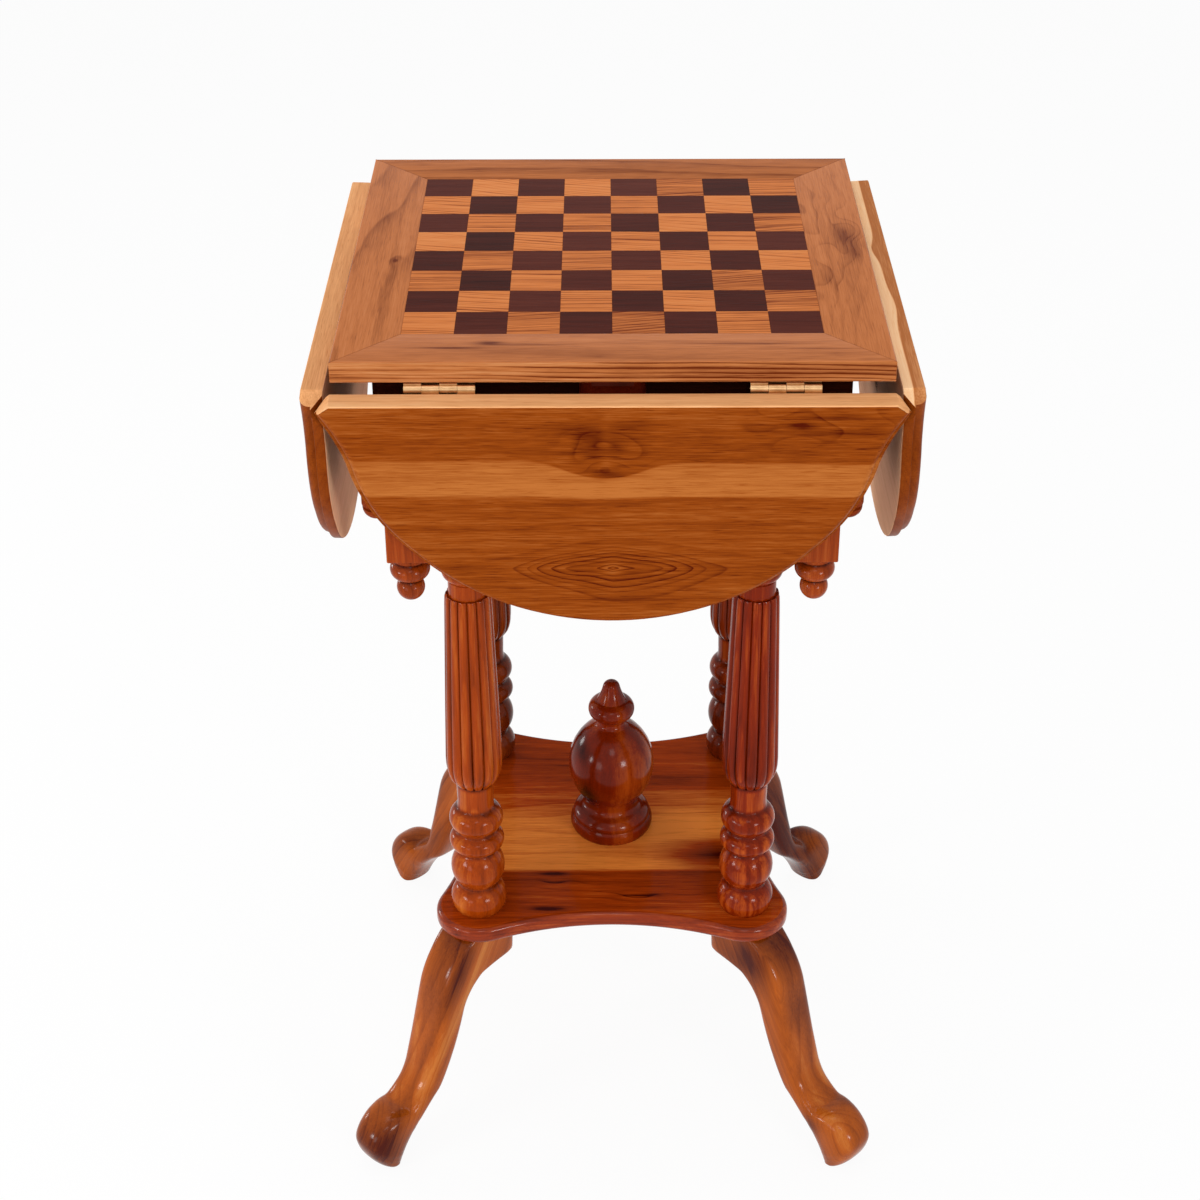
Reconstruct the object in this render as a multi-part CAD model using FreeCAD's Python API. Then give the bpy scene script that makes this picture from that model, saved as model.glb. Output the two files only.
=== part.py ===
import FreeCAD, Part
import math
import os

# A small chess table of turned wood with four drop leaves.
# Lengths are millimetres. The origin is on the floor under the middle of the top, and -Y is the front.

# Playing board, inlaid in a mitred frame
square_side = 38.1
squares_per_side = 8
square_thickness = 2.0
border_width = 47.6
top_thickness = 16.0
tongue_width = 6.0
tongue_thickness = 5.0
groove_clearance = 0.2

# Drop leaves
leaf_drop = 206.0
leaf_gap = 2.0
leaf_mitre = 12.0
leaf_moulding_height = 8.0
leaf_moulding_step = 4.0
leaf_moulding_radius = 4.5
leaf_corner_clearance = 2.4
leaf_shoulder_shares = (0.96, 0.272)
leaf_haunch_shares = (0.75, 0.66)
leaf_tip_bulge_share = -0.035
leaf_side_bulge_share = 0.075
front_leaf_lean_degrees = 9.0
right_leaf_splay_degrees = 3.4
left_leaf_splay_degrees = 1.8

# Butt hinges, two to a leaf
hinge_length = 50.8
hinge_centre = 122.5
hinge_drop = 4.2
knuckle_count = 4
knuckle_radius = 3.1
knuckle_clearance = 0.15
pin_radius = 1.5
pin_clearance = 0.05
plate_width = 18.0
plate_thickness = 1.2
plate_relief = 3.6

# Countersunk wood screws of the hinges
hinge_screw_radius = 1.2
hinge_screw_head_radius = 2.6
hinge_screw_head_height = 1.2
hinge_screw_length = 11.0
hinge_screw_row_shares = ((-0.36, 0.62), (0.0, 0.72), (0.36, 0.62))

# Leaf supports: flat steel slides in wooden guides under the top, and the felt pads they bear on
slide_width = 30.0
slide_thickness = 2.7
slide_inner_end = 26.0
slide_outer_margin = 2.0
slide_head_width = 38.0
slide_head_length = 8.0
slide_lip_length = 3.0
slide_lip_depth = 0.7
slide_travel = 95.0
slide_clearance = 0.3
guide_width = 48.0
guide_height = 21.0
guide_inner_end = 50.0
guide_outer_margin = 10.0
guide_nose_radius = 12.0
pad_width = 54.0
pad_length = 40.0
pad_thickness = 2.0

# Frieze and the board under it
frieze_setback = 27.0
frieze_thickness = 18.0
frieze_height = 101.0
corner_block_side = 34.0
corner_block_height = 40.0
underframe_half_width = 186.0
underframe_thickness = 20.0
underframe_corner_radius = 12.0
underframe_edge_radius = 7.0

# Long screws that hold the frieze to its board and to the top
frame_screw_radius = 2.0
frame_screw_head_radius = 4.0
frame_screw_head_height = 2.4
frame_screw_length = 38.0
frame_screw_place_share = 0.6
block_screw_length = 50.0
block_screw_place_share = 0.3

# Pendants under the corners
pendant_centre = 154.5
pendant_block_side = 32.0
pendant_block_height = 44.5
pendant_drop = 39.0
pendant_radius = 16.0
pendant_tenon_radius = 8.0
pendant_tenon_length = 14.0
pendant_shares = (
    (0.0, 0.0, 0.0),
    (0.35, 0.02, 0.23),
    (0.51, 0.45, 0.0),
    (0.54, 0.47, 0.31),
    (0.80, 0.84, 0.0),
    (0.76, 0.87, 0.0),
    (0.84, 0.90, 0.0),
    (0.84, 1.0, 0.0),
)

# Columns between the shelf and the underframe
column_centre = 114.0
column_radius = 23.0
column_foot_height = 130.0
column_shaft_height = 183.5
column_head_height = 104.0
column_tenon_radius = 9.0
column_tenon_length = 12.0
tenon_clearance = 0.1
column_foot_shares = (
    (0.90, 0.0, 0.15),
    (0.80, 0.185, 0.0),
    (0.74, 0.205, 0.0),
    (0.76, 0.225, 0.17),
    (0.76, 0.45, 0.0),
    (0.74, 0.465, 0.0),
    (0.80, 0.485, 0.24),
    (0.82, 0.605, 0.0),
    (0.72, 0.62, 0.0),
    (0.72, 0.64, 0.26),
    (0.69, 0.81, -0.03),
    (0.66, 0.90, 0.0),
    (0.67, 1.0, 0.0),
)
column_head_shares = (
    (0.67, 0.0, 0.0),
    (0.67, 0.125, 0.0),
    (0.76, 0.14, 0.25),
    (0.76, 0.28, -0.14),
    (0.60, 0.40, 0.20),
    (0.58, 0.74, -0.12),
    (0.74, 0.80, 0.30),
    (0.74, 0.89, 0.0),
    (0.98, 0.90, 0.10),
    (0.98, 1.0, 0.0),
)
reed_count = 14
reed_depth_share = 0.88
shaft_section_shares = ((0.0, 0.70), (0.02, 0.84), (0.06, 0.94), (0.15, 1.0), (0.4, 0.93), (0.985, 0.78), (1.0, 0.72))

# Shelf with a lobe under each column
shelf_thickness = 15.5
shelf_lobe_radius = 37.0
shelf_waist = 128.0
shelf_edge_radius = 5.0

# Finial on the middle of the shelf
finial_radius = 36.3
finial_height = 153.5
finial_tenon_radius = 7.0
finial_tenon_length = 10.0
finial_shares = (
    (0.97, 0.0, 0.12),
    (0.91, 0.127, 0.20),
    (0.66, 0.185, 0.0),
    (0.64, 0.205, -0.06),
    (0.70, 0.28, 0.22),
    (0.55, 0.69, 0.0),
    (0.37, 0.72, -0.16),
    (0.42, 0.765, 0.32),
    (0.36, 0.86, -0.10),
    (0.18, 0.92, 0.12),
    (0.08, 1.0, 0.0),
)

# Splayed legs on the diagonals
leg_height = 200.0
leg_outer_radius = 306.0
leg_width = 40.0
leg_dowel_radius = 4.0
leg_dowel_length = 22.0
leg_dowel_spacing = 2.8
leg_end_wood = 3.4
leg_outline_shares = (
    (0.0, 1.0, 0.0),
    (0.0, 0.81, 0.0),
    (0.198, 0.80, -0.10),
    (0.344, 0.67, 0.033),
    (0.532, 0.29, -0.07),
    (0.81, 0.0, 0.0),
    (0.893, 0.0, 0.11),
    (1.0, 0.165, 0.22),
    (0.754, 0.264, -0.084),
    (0.62, 0.385, -0.012),
    (0.49, 0.77, 0.105),
)

# One overrun serves all cuts
overrun = 1.0

# Heights that follow from the stack of pieces
shelf_bottom = leg_height
shelf_top = shelf_bottom + shelf_thickness
shaft_bottom = shelf_top + column_foot_height
head_bottom = shaft_bottom + column_shaft_height
underframe_bottom = head_bottom + column_head_height
underframe_top = underframe_bottom + underframe_thickness
top_bottom = underframe_top + frieze_height
top_surface = top_bottom + top_thickness

# Widths that follow from the board
board_half = square_side * squares_per_side / 2
top_half = board_half + border_width
leaf_start = top_half + leaf_gap
hinge_reach = top_half + leaf_gap / 2
hinge_height = top_bottom - hinge_drop
frieze_half_width = top_half - frieze_setback

# Each leg ends centred under its column, with a dowel on either side of the tenon
column_axis = column_centre * math.sqrt(2)
leg_dowel_reach = column_tenon_radius + leg_dowel_spacing + leg_dowel_radius
leg_end_half = leg_dowel_reach + leg_dowel_radius + leg_end_wood
leg_inner_radius = column_axis - leg_end_half

across = FreeCAD.Vector(1, 0, 0)
upright = FreeCAD.Vector(0, 0, 1)
middle = FreeCAD.Vector(0, 0, 0)
side_turns = {"front": 0, "right": 90, "back": 180, "left": 270}
corner_turns = {"front_right": 0, "back_right": 90, "back_left": 180, "front_left": 270}


def block(low_x, high_x, low_y, high_y, low_z, high_z):
    corner = FreeCAD.Vector(low_x, low_y, low_z)
    return Part.makeBox(high_x - low_x, high_y - low_y, high_z - low_z, corner)


def slab(half, low_z, high_z):
    return block(-half, half, -half, half, low_z, high_z)


def rod(radius, length, x, y, z):
    return Part.makeCylinder(radius, length, FreeCAD.Vector(x, y, z))


def turned_about_z(shape, degrees):
    copy = shape.copy()
    copy.rotate(middle, upright, degrees)
    return copy


def in_plan(along, out):
    return FreeCAD.Vector(along, out, 0)


def in_section(out, height):
    return FreeCAD.Vector(out, 0, height)


# A closed outline. Each point has a bulge to the next one: the height of the arc as a share of its chord,
# to the right of the way the outline runs, or 0 for a straight edge.
def outline_face(points, place):
    edges = []
    for number, (start_a, start_b, bulge) in enumerate(points):
        end_a, end_b, _ = points[(number + 1) % len(points)]
        start = place(start_a, start_b)
        end = place(end_a, end_b)
        if bulge == 0:
            edges.append(Part.makeLine(start, end))
            continue
        crown_a = (start_a + end_a) / 2 + bulge * (end_b - start_b)
        crown_b = (start_b + end_b) / 2 - bulge * (end_a - start_a)
        edges.append(Part.Arc(start, place(crown_a, crown_b), end).toShape())
    return Part.Face(Part.Wire(edges))


def lathe(shares, radius, base, height):
    points = []
    for out_share, up_share, bulge_share in shares:
        points.append((out_share * radius, base + up_share * height, bulge_share))
    if points[-1][0] > 0:
        points.append((0, base + height, 0))
    if points[0][0] > 0:
        points.append((0, base, 0))
    return outline_face(points, in_section).revolve(middle, upright, 360)


def screw(length, radius, head_radius, head_height):
    head = Part.makeCone(head_radius, radius, head_height)
    shank = Part.makeCylinder(radius, length)
    return head.fuse(shank)


# Playing board
def mitred_board(outer_half, width, low_z, high_z):
    inner_half = outer_half - width
    points = (
        (-outer_half, -outer_half, 0),
        (outer_half, -outer_half, 0),
        (inner_half, -inner_half, 0),
        (-inner_half, -inner_half, 0),
    )
    return outline_face(points, in_plan).translated(upright * low_z).extrude(upright * (high_z - low_z))


def tongue_slab(extra):
    low = top_bottom + (top_thickness - tongue_thickness) / 2
    return slab(board_half + tongue_width + extra, low, low + tongue_thickness)


def border_board():
    board = mitred_board(top_half, border_width, top_bottom, top_surface)
    return board.cut(tongue_slab(groove_clearance))


def board_core():
    return slab(board_half, top_bottom, top_surface - square_thickness).fuse(tongue_slab(0)).removeSplitter()


def board_squares(parity):
    squares = []
    for row in range(squares_per_side):
        for column in range(squares_per_side):
            if (row + column) % 2 != parity:
                continue
            corner = FreeCAD.Vector(column * square_side - board_half, row * square_side - board_half,
                                    top_surface - square_thickness)
            squares.append(Part.makeBox(square_side, square_side, square_thickness, corner))
    return Part.makeCompound(squares)


# Leaves are drawn raised, level with the top, and then dropped about their hinge.
# The front one then leans in below, as a leaf hung by the corner of its edge does, and the side ones splay out.
def swung(shape, degrees):
    copy = shape.copy()
    copy.rotate(FreeCAD.Vector(0, -hinge_reach, hinge_height), across, degrees)
    return copy


def dropped(shape):
    return swung(shape, 90)


def leaf_layer(inset, low_z, high_z):
    tip = top_half + leaf_mitre - inset
    shoulder = leaf_shoulder_shares[0] * top_half - inset
    shoulder_drop = leaf_shoulder_shares[1] * leaf_drop
    haunch = leaf_haunch_shares[0] * top_half - inset
    haunch_drop = leaf_haunch_shares[1] * leaf_drop - inset
    bottom_bulge = (leaf_drop - inset - haunch_drop) / (haunch * 2)
    points = (
        (-top_half, -leaf_start, 0),
        (top_half, -leaf_start, 0),
        (tip, -leaf_start - leaf_mitre, -leaf_tip_bulge_share),
        (shoulder, -leaf_start - shoulder_drop, -leaf_side_bulge_share),
        (haunch, -leaf_start - haunch_drop, -bottom_bulge),
        (-haunch, -leaf_start - haunch_drop, -leaf_side_bulge_share),
        (-shoulder, -leaf_start - shoulder_drop, -leaf_tip_bulge_share),
        (-tip, -leaf_start - leaf_mitre, 0),
    )
    return outline_face(points, in_plan).translated(upright * low_z).extrude(upright * (high_z - low_z))


def is_moulded(edge):
    flat = edge.BoundBox.ZMin > top_surface - leaf_moulding_step
    return flat and isinstance(edge.Curve, Part.Circle)


# Where the slide's end bears on the raised leaf
def leaf_pad():
    far = slide_outer_end + slide_travel
    raised = block(-pad_width / 2, pad_width / 2, -far, pad_length - far, top_bottom, top_bottom + pad_thickness)
    return dropped(raised)


def leaf():
    step_height = top_surface - leaf_moulding_height
    lower = leaf_layer(0, top_bottom, step_height)
    upper = leaf_layer(leaf_moulding_step, step_height, top_surface)
    moulded = upper.makeFillet(leaf_moulding_radius, [edge for edge in upper.Edges if is_moulded(edge)])
    hanging = dropped(lower.fuse(moulded).removeSplitter())
    inner = hinge_reach + hinge_drop - overrun
    far = top_half + leaf_mitre + leaf_start
    for way in (1, -1):
        points = (
            (way * (inner - leaf_corner_clearance), -inner, 0),
            (way * far, -inner, 0),
            (way * far, -far - leaf_corner_clearance, 0),
        )
        wedge = outline_face(points, in_plan).extrude(upright * top_surface)
        hanging = hanging.cut(wedge)
    return hanging.cut(leaf_pad())


# One half of a hinge, open flat with its axis along X through the origin
def hinge_half(way, first_knuckle, bore_radius):
    half = hinge_length / 2
    pitch = hinge_length / knuckle_count
    reach = sorted((way * plate_relief, way * plate_width))
    half_hinge = block(-half, half, reach[0], reach[1], hinge_drop - plate_thickness, hinge_drop)
    tab_reach = sorted((0, way * plate_relief))
    for number in range(first_knuckle, knuckle_count, 2):
        low = number * pitch - half + knuckle_clearance
        high = (number + 1) * pitch - half - knuckle_clearance
        barrel = Part.makeCylinder(knuckle_radius, high - low, FreeCAD.Vector(low, 0, 0), across)
        web_reach = sorted((0, way * knuckle_radius))
        web = block(low, high, web_reach[0], web_reach[1], 0, hinge_drop)
        tab = block(low, high, tab_reach[0], tab_reach[1], hinge_drop - plate_thickness, hinge_drop)
        half_hinge = half_hinge.fuse([barrel, web, tab])
    bore = Part.makeCylinder(bore_radius, hinge_length, FreeCAD.Vector(-half, 0, 0), across)
    return half_hinge.removeSplitter().cut(bore)


def hinge_screws(way):
    screws = []
    for along_share, out_share in hinge_screw_row_shares:
        one = screw(hinge_screw_length, hinge_screw_radius, hinge_screw_head_radius, hinge_screw_head_height)
        one.translate(FreeCAD.Vector(along_share * hinge_length, way * out_share * plate_width,
                                     hinge_drop - plate_thickness))
        screws.append(one)
    return screws


def at_hinges(shapes):
    placed = []
    for way in (-1, 1):
        for shape in shapes:
            placed.append(shape.translated(FreeCAD.Vector(way * hinge_centre, -hinge_reach, hinge_height)))
    return placed


def hinge_plate(way, first_knuckle, bore_radius):
    return hinge_half(way, first_knuckle, bore_radius).cut(Part.makeCompound(hinge_screws(way)))


def hinge_pin():
    return Part.makeCylinder(pin_radius, hinge_length, FreeCAD.Vector(-hinge_length / 2, 0, 0), across)


# Leaf supports
slide_top = top_bottom - slide_clearance
slide_bottom = slide_top - slide_thickness
slide_outer_end = top_half - slide_outer_margin
guide_outer_end = top_half - guide_outer_margin
guide_stop = slide_inner_end + slide_head_length + slide_travel


def slide():
    blade = block(-slide_width / 2, slide_width / 2, -slide_outer_end, -slide_inner_end, slide_bottom, slide_top)
    head = block(-slide_head_width / 2, slide_head_width / 2, -slide_inner_end - slide_head_length,
                 -slide_inner_end, slide_bottom, slide_top)
    lip = block(-slide_width / 2, slide_width / 2, -slide_outer_end, slide_lip_length - slide_outer_end,
                slide_bottom - slide_lip_depth, slide_bottom)
    return blade.fuse([head, lip]).removeSplitter()


def guide_body():
    body = block(-guide_width / 2, guide_width / 2, -guide_outer_end, -guide_inner_end,
                 top_bottom - guide_height, top_bottom)
    outer_edges = [edge for edge in body.Edges if edge.BoundBox.YMax < overrun - guide_outer_end]
    nose = [edge for edge in outer_edges if edge.BoundBox.XLength < overrun]
    return body.makeFillet(guide_nose_radius, nose)


def slide_guide():
    channel_bottom = slide_bottom - slide_clearance
    narrow = slide_width / 2 + slide_clearance
    wide = slide_head_width / 2 + slide_clearance
    blade_way = block(-narrow, narrow, -guide_outer_end - overrun, -guide_inner_end + overrun,
                      channel_bottom, top_bottom + overrun)
    head_way = block(-wide, wide, -guide_stop, -guide_inner_end + overrun, channel_bottom, top_bottom + overrun)
    return guide_body().cut(blade_way).cut(head_way)


# Frieze and underframe
def frieze_rail():
    return mitred_board(frieze_half_width, frieze_thickness, underframe_top, top_bottom).cut(guide_body())


def corner_block():
    inner = frieze_half_width - frieze_thickness
    points = (
        (inner, -inner, 0),
        (inner, -inner + corner_block_side, 0),
        (inner - corner_block_side, -inner, 0),
    )
    face = outline_face(points, in_plan).translated(upright * (top_bottom - corner_block_height))
    return face.extrude(upright * corner_block_height)


def block_screw():
    inner = frieze_half_width - frieze_thickness - block_screw_place_share * corner_block_side
    one = screw(block_screw_length, frame_screw_radius, frame_screw_head_radius, frame_screw_head_height)
    return one.translated(FreeCAD.Vector(inner, -inner, top_bottom - corner_block_height))


def frame_screws():
    screws = []
    out = frieze_half_width - frieze_thickness / 2
    for way in (-1, 1):
        one = screw(frame_screw_length, frame_screw_radius, frame_screw_head_radius, frame_screw_head_height)
        along = way * frame_screw_place_share * frieze_half_width
        screws.append(one.translated(FreeCAD.Vector(along, -out, underframe_bottom)))
    return screws


def underframe_board():
    board = slab(underframe_half_width, underframe_bottom, underframe_top)
    corners = [edge for edge in board.Edges if edge.BoundBox.ZLength > underframe_thickness / 2]
    board = board.makeFillet(underframe_corner_radius, corners)
    lower = [edge for edge in board.Edges if edge.BoundBox.ZMax < underframe_bottom + overrun]
    board = board.makeFillet(underframe_edge_radius, lower)
    sockets = []
    for turn in corner_turns.values():
        column_socket = rod(column_tenon_radius + tenon_clearance, column_tenon_length + tenon_clearance,
                            column_centre, -column_centre, underframe_bottom)
        pendant_socket = rod(pendant_tenon_radius + tenon_clearance, pendant_tenon_length + tenon_clearance,
                             pendant_centre, -pendant_centre, underframe_bottom)
        sockets.append(turned_about_z(column_socket, turn))
        sockets.append(turned_about_z(pendant_socket, turn))
    return board.cut(sockets)


# Pendants
def pendant():
    drop_bottom = underframe_bottom - pendant_block_height - pendant_drop
    half = pendant_block_side / 2
    square = block(-half, half, -half, half, underframe_bottom - pendant_block_height, underframe_bottom)
    tenon = rod(pendant_tenon_radius, pendant_tenon_length, 0, 0, underframe_bottom)
    drop = lathe(pendant_shares, pendant_radius, drop_bottom, pendant_drop)
    whole = square.fuse([tenon, drop]).removeSplitter()
    return whole.translated(FreeCAD.Vector(pendant_centre, -pendant_centre, 0))


# Columns
def reed_section(height, radius):
    valley = radius * reed_depth_share
    step = 2 * math.pi / reed_count
    edges = []
    for number in range(reed_count):
        start = number * step
        crown = start + step / 2
        end = start + step
        edges.append(Part.Arc(
            FreeCAD.Vector(valley * math.cos(start), valley * math.sin(start), height),
            FreeCAD.Vector(radius * math.cos(crown), radius * math.sin(crown), height),
            FreeCAD.Vector(valley * math.cos(end), valley * math.sin(end), height),
        ).toShape())
    return Part.Wire(edges)


def column():
    sections = []
    for up_share, out_share in shaft_section_shares:
        height = shaft_bottom + up_share * column_shaft_height
        sections.append(reed_section(height, out_share * column_radius))
    shaft = Part.makeLoft(sections, True, True)
    foot = lathe(column_foot_shares, column_radius, shelf_top, column_foot_height)
    head = lathe(column_head_shares, column_radius, head_bottom, column_head_height)
    lower_tenon = rod(column_tenon_radius, column_tenon_length, 0, 0, shelf_top - column_tenon_length)
    upper_tenon = rod(column_tenon_radius, column_tenon_length, 0, 0, underframe_bottom)
    whole = foot.fuse([shaft, head, lower_tenon, upper_tenon])
    return whole.translated(FreeCAD.Vector(column_centre, -column_centre, 0))


# Shelf and finial
def shelf_outline():
    hollow_radius = (column_centre ** 2 + (shelf_waist - column_centre) ** 2 - shelf_lobe_radius ** 2)
    hollow_radius = hollow_radius / (2 * (shelf_lobe_radius - shelf_waist + column_centre))
    lobe = FreeCAD.Vector(column_centre, -column_centre, 0)
    hollow = FreeCAD.Vector(0, -shelf_waist - hollow_radius, 0)
    toward = (hollow - lobe).normalize()
    meet = lobe + toward * shelf_lobe_radius
    across_meet = FreeCAD.Vector(-meet.x, meet.y, 0)
    next_meet = FreeCAD.Vector(-meet.y, -meet.x, 0)
    outermost = lobe + FreeCAD.Vector(1, -1, 0).normalize() * shelf_lobe_radius
    edges = []
    for turn in corner_turns.values():
        hollow_edge = Part.Arc(across_meet, FreeCAD.Vector(0, -shelf_waist, 0), meet).toShape()
        lobe_edge = Part.Arc(meet, outermost, next_meet).toShape()
        edges.append(turned_about_z(hollow_edge, turn))
        edges.append(turned_about_z(lobe_edge, turn))
    return Part.Face(Part.Wire(edges))


def leg_dowels():
    dowels = []
    for way in (-1, 1):
        out = (column_axis + way * leg_dowel_reach) / math.sqrt(2)
        dowels.append(rod(leg_dowel_radius, leg_dowel_length, out, -out, shelf_bottom - leg_dowel_length / 2))
    return dowels


def all_leg_dowels():
    dowels = []
    for turn in corner_turns.values():
        dowels.extend(turned_about_z(dowel, turn) for dowel in leg_dowels())
    return dowels


def shelf():
    board = shelf_outline().translated(upright * shelf_bottom).extrude(upright * shelf_thickness)
    rims = [edge for edge in board.Edges if edge.BoundBox.ZLength < overrun]
    board = board.makeFillet(shelf_edge_radius, rims)
    sockets = [rod(finial_tenon_radius + tenon_clearance, finial_tenon_length + tenon_clearance, 0, 0,
                   shelf_top - finial_tenon_length - tenon_clearance)]
    for turn in corner_turns.values():
        socket = rod(column_tenon_radius + tenon_clearance, column_tenon_length + tenon_clearance,
                     column_centre, -column_centre, shelf_top - column_tenon_length - tenon_clearance)
        sockets.append(turned_about_z(socket, turn))
    return board.cut(sockets).cut(all_leg_dowels())


def finial():
    tenon = rod(finial_tenon_radius, finial_tenon_length, 0, 0, shelf_top - finial_tenon_length)
    return lathe(finial_shares, finial_radius, shelf_top, finial_height).fuse(tenon)


# Legs
def leg():
    reach = leg_outer_radius - leg_inner_radius
    points = []
    for out_share, up_share, bulge_share in leg_outline_shares:
        points.append((leg_inner_radius + out_share * reach, up_share * leg_height, bulge_share))
    points.append((column_axis + leg_end_half, leg_height, 0))
    blank = outline_face(points, in_section).translated(FreeCAD.Vector(0, -leg_width / 2, 0))
    blank = blank.extrude(FreeCAD.Vector(0, leg_width, 0))
    return turned_about_z(blank, -45).cut(leg_dowels())


# Writing the pieces
os.makedirs("parts", exist_ok=True)


def write(name, shape):
    shape.exportStep("parts/" + name + ".step")


def write_group(name, shapes):
    write(name, Part.makeCompound(shapes))


write("board_core", board_core())
write("light_squares", board_squares(0))
write("dark_squares", board_squares(1))
write("underframe_board", underframe_board())
write("shelf", shelf())
write("finial", finial())
write_group("leg_dowels", all_leg_dowels())

side_pieces = {
    "border": border_board(),
    "frieze": frieze_rail(),
    "slide": slide(),
    "slide_guide": slide_guide(),
}
leaf_plates = [dropped(plate) for plate in at_hinges([hinge_plate(-1, 1, pin_radius + pin_clearance)])]
leaf_screws = [dropped(one) for one in at_hinges(hinge_screws(-1))]
leaf_groups = {
    "": [leaf()],
    "_hinge_plates": leaf_plates,
    "_hinge_screws": leaf_screws,
    "_pad": [leaf_pad()],
}
side_leans = {
    "front": front_leaf_lean_degrees,
    "right": -right_leaf_splay_degrees,
    "back": 0,
    "left": -left_leaf_splay_degrees,
}
fixed_groups = {
    "top_hinge_plates": at_hinges([hinge_plate(1, 0, pin_radius)]),
    "top_hinge_screws": at_hinges(hinge_screws(1)),
    "hinge_pins": at_hinges([hinge_pin()]),
    "frame_screws": frame_screws(),
}
for side, turn in side_turns.items():
    for name, piece in side_pieces.items():
        write(name + "_" + side, turned_about_z(piece, turn))
    for name, pieces in leaf_groups.items():
        leaned = [swung(piece, side_leans.get(side)) for piece in pieces]
        write_group("leaf_" + side + name, [turned_about_z(piece, turn) for piece in leaned])
for name, pieces in fixed_groups.items():
    write_group(name, [turned_about_z(piece, turn) for turn in side_turns.values() for piece in pieces])

corner_pieces = {
    "pendant": pendant(),
    "column": column(),
    "leg": leg(),
}
for corner, turn in corner_turns.items():
    for name, piece in corner_pieces.items():
        write(name + "_" + corner, turned_about_z(piece, turn))
write_group("corner_blocks", [turned_about_z(corner_block(), turn) for turn in corner_turns.values()])
write_group("corner_block_screws", [turned_about_z(block_screw(), turn) for turn in corner_turns.values()])
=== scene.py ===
import bmesh
import bpy
import math
from mathutils import Matrix, Vector


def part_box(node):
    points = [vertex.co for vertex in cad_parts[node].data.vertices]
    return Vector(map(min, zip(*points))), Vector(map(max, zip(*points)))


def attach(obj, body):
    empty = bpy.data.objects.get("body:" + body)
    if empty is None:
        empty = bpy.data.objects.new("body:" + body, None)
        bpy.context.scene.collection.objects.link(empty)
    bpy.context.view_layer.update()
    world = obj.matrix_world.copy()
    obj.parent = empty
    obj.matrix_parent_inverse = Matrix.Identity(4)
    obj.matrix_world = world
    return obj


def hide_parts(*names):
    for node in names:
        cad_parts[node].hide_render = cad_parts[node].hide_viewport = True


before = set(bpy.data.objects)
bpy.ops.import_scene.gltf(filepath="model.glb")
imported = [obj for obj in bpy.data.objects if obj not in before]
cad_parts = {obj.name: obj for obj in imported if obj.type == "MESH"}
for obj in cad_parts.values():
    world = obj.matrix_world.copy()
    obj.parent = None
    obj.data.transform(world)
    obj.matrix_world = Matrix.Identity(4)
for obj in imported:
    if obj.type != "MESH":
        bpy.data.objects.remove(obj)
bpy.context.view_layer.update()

# Legs
# Four splayed legs, sawn from thick teak on the diagonals, rounded by hand and ending in a knob toe.
# Each is dowelled up into the shelf under a column and lacquered to a gloss over streaky heartwood.
rightward, backward, upward = Vector((1, 0, 0)), Vector((0, 1, 0)), Vector((0, 0, 1))
corner_turns = {"front_right": 0, "back_right": 90, "back_left": 180, "front_left": 270}
leg_half_width = 0.0205
leg_outer_line = (
    # distance from the middle, height, bulge of the arc to the next point
    (0.1844, 0.2000, -0.105),
    (0.2203, 0.1540, 0.012),
    (0.2425, 0.0770, 0.084),
    (0.2660, 0.0530, -0.22),
    (0.3055, 0.0330, -0.12),
    (0.2880, 0.0002, 0.0),
    (0.2815, 0.0000, 0.0),
)
leg_inner_line = (
    (0.1380, 0.2000, 0.0),
    (0.1380, 0.1630, 0.0),
    (0.1700, 0.1605, -0.10),
    (0.1955, 0.1340, 0.033),
    (0.2270, 0.0580, -0.07),
    (0.2735, 0.0002, 0.0),
    (0.2805, 0.0000, 0.0),
)
leg_matches = (
    # share of the way down the outer line, share down the inner line that faces it
    (0.0, 0.0), (0.22, 0.27), (0.36, 0.42), (0.52, 0.64), (0.64, 0.80), (0.80, 0.93), (0.97, 0.985), (1.0, 1.0),
)
leg_widths = ((0.0, 1.0), (0.45, 0.97), (0.58, 0.92), (0.70, 0.98), (0.84, 0.98), (0.95, 0.86), (1.0, 0.6))
leg_squareness = ((0.0, 0.24), (0.2, 0.36), (0.45, 0.50), (0.7, 0.64), (1.0, 0.84))
outer_softness = 0.16
leg_levels = 90
section_points = 44
line_steps = 200
line_easing = 6
fine_turn = 0.05
leg_turn = -45
weld_distance = 1e-6


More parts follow.
